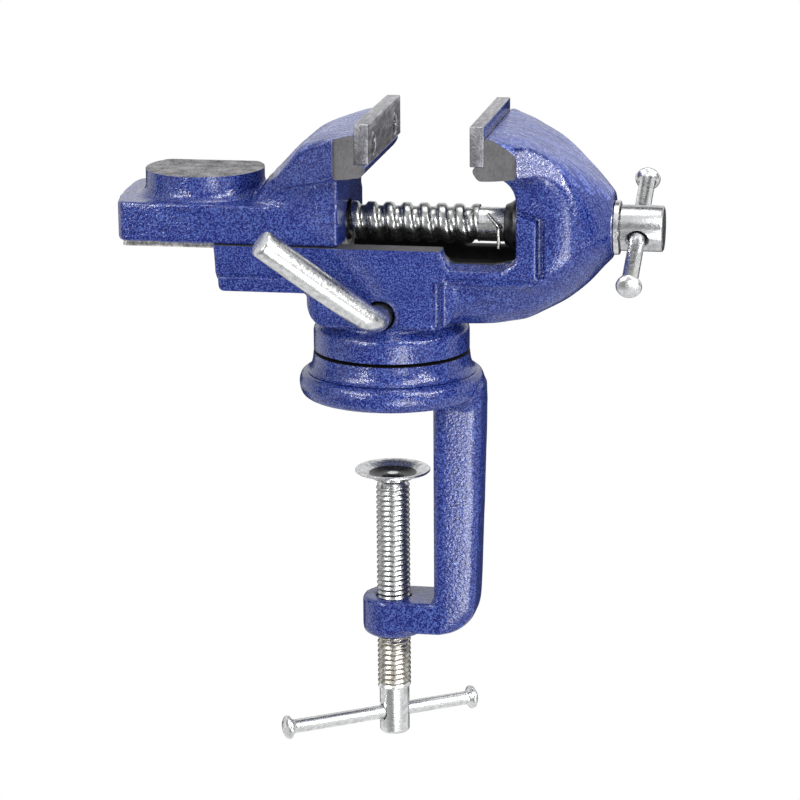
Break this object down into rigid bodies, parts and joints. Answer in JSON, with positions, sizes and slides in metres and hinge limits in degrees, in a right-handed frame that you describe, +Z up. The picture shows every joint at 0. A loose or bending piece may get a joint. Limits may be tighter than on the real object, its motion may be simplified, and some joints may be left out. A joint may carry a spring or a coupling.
{
  "type": "swivel bench vise",
  "caption": "Small clamp-on table vise with a swivel base, a sliding jaw with a round anvil, a jaw screw with a sliding bar, a swivel lock lever and a clamp screw below.",
  "frame": {"origin": "on the swivel axis, in the plane of the bench face under the base", "axes": "+X along the jaw screw towards its handle, +Y to the side away from the lock lever, +Z up"},
  "size_m": [0.18, 0.0852, 0.2137],
  "materials": {
    "blue_paint": "blue hammertone paint on cast iron, machined bright on the jaw sides and the anvil",
    "zinc_steel": "bright zinc plate",
    "ground_steel": "ground",
    "black_steel": "black oxide",
    "bronze_nut": "cast bronze"
  },
  "bodies": {
    "clamp_frame": {"clamp_frame": "blue_paint", "pivot_post": "zinc_steel", "swivel_washer": "black_steel"},
    "vise_body": {"vise_body": "blue_paint", "fixed_jaw_plate": "ground_steel", "fixed_jaw_screws": "zinc_steel"},
    "moving_jaw": {"moving_jaw": "blue_paint", "moving_jaw_plate": "ground_steel", "moving_jaw_screws": "zinc_steel", "spindle_nut": "bronze_nut", "nut_pin": "zinc_steel"},
    "spindle": {"spindle": "zinc_steel", "outer_washer": "zinc_steel", "inner_washer": "black_steel", "split_pin": "zinc_steel"},
    "spindle_bar": {"spindle_bar": "zinc_steel"},
    "lock_lever": {"lock_lever": "zinc_steel"},
    "clamp_pad": {"clamp_pad": "zinc_steel"},
    "clamp_screw": {"clamp_screw": "zinc_steel"},
    "clamp_bar": {"clamp_bar": "zinc_steel"}
  },
  "joints": [
    {"name": "swivel", "type": "hinge", "parent": "clamp_frame", "child": "vise_body", "pos_m": [0, 0, 0.015], "axis": [0, 0, 1], "continuous": true},
    {"name": "lever_turn", "type": "hinge", "parent": "vise_body", "child": "lock_lever", "pos_m": [0, -0.022, 0.0308], "axis": [0, -1, 0], "range_deg": [-150, 75]},
    {"name": "screw_turn", "type": "hinge", "parent": "vise_body", "child": "spindle", "pos_m": [0.0441, 0, 0.0576], "axis": [1, 0, 0], "range_deg": [-1999, 1403]},
    {"name": "jaw_travel", "type": "slide", "parent": "vise_body", "child": "moving_jaw", "axis": [1, 0, 0], "range_m": [-0.0226, 0.0322]},
    {"name": "bar_slide", "type": "slide", "parent": "spindle", "child": "spindle_bar", "axis": [0, -0.9336, -0.3584], "range_m": [-0.0244, 0.0208]},
    {"name": "clamp_travel", "type": "slide", "parent": "clamp_frame", "child": "clamp_pad", "axis": [0, 0, 1], "range_m": [-0.04, 0.0241]},
    {"name": "clamp_turn", "type": "hinge", "parent": "clamp_pad", "child": "clamp_screw", "pos_m": [0, 0, -0.0301], "axis": [0, 0, 1], "range_deg": [-8228, 4957]},
    {"name": "clamp_bar_slide", "type": "slide", "parent": "clamp_screw", "child": "clamp_bar", "axis": [-0.8241, -0.5664, 0], "range_m": [-0.032, 0.0218]}
  ],
  "couplings": [
    {"joint": "screw_turn", "follows": "jaw_travel", "rad_per_m": -1083.3},
    {"joint": "clamp_travel", "follows": "clamp_turn", "m_per_rad": 0.00027852}
  ]
}
